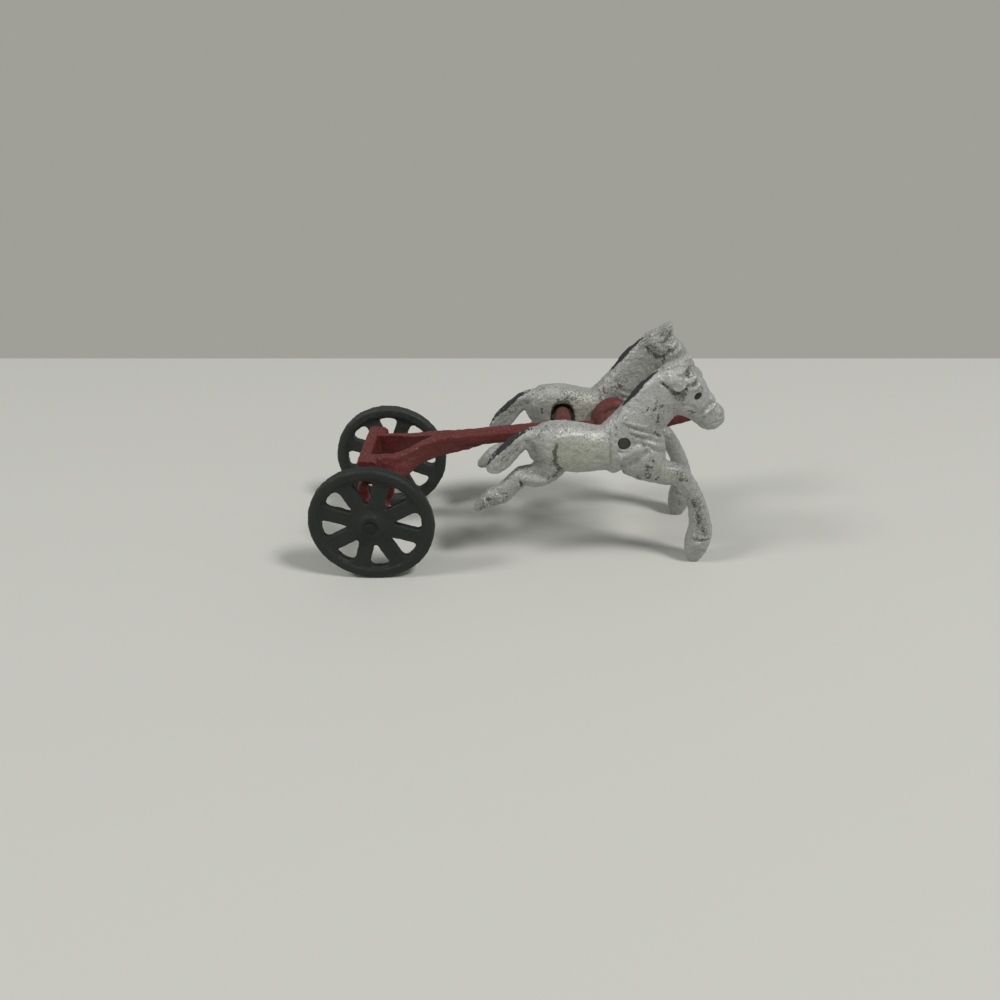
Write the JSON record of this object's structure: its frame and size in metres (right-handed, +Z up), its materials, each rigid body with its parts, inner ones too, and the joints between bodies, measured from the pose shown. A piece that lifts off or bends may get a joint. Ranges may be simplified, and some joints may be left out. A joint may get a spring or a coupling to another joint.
{
  "type": "cast iron toy horse carriage",
  "caption": "Pair of galloping cast iron horses rocking on a pole with a two-wheeled limber frame.",
  "frame": {"origin": "on the floor, under the middle of the toy's box", "axes": "+X towards the horses' noses, +Y towards the far horse, +Z up; the near horse and wheel are at -Y"},
  "size_m": [0.1624, 0.067, 0.0904],
  "materials": {
    "oxblood_paint": "worn oxblood red paint over cast iron",
    "silver_paint": "worn silver white paint over cast iron",
    "black_japan": "worn black paint over cast iron",
    "dark_steel": "dull blackened steel wire"
  },
  "bodies": {
    "limber": {"pole_frame": "oxblood_paint", "cross_pin": "dark_steel"},
    "axle_rod": {"axle": "dark_steel"},
    "wheel_near": {"near_wheel": "black_japan"},
    "wheel_far": {"far_wheel": "black_japan"},
    "horse_near": {"near_horse": "silver_paint"},
    "horse_far": {"far_horse": "silver_paint"}
  },
  "joints": [
    {"name": "axle_spin", "type": "hinge", "parent": "limber", "child": "axle_rod", "pos_m": [-0.05615, 0, 0.025], "axis": [0, 1, 0], "continuous": true},
    {"name": "near_wheel_spin", "type": "hinge", "parent": "axle_rod", "child": "wheel_near", "pos_m": [-0.05615, -0.029, 0.025], "axis": [0, 1, 0], "continuous": true},
    {"name": "far_wheel_spin", "type": "hinge", "parent": "axle_rod", "child": "wheel_far", "pos_m": [-0.05615, 0.029, 0.025], "axis": [0, 1, 0], "continuous": true},
    {"name": "near_horse_rock", "type": "hinge", "parent": "limber", "child": "horse_near", "pos_m": [0.04165, -0.01875, 0.0576], "axis": [0, 1, 0], "range_deg": [0, 6]},
    {"name": "far_horse_rock", "type": "hinge", "parent": "limber", "child": "horse_far", "pos_m": [0.04165, 0.01875, 0.0576], "axis": [0, 1, 0], "range_deg": [0, 6]}
  ]
}
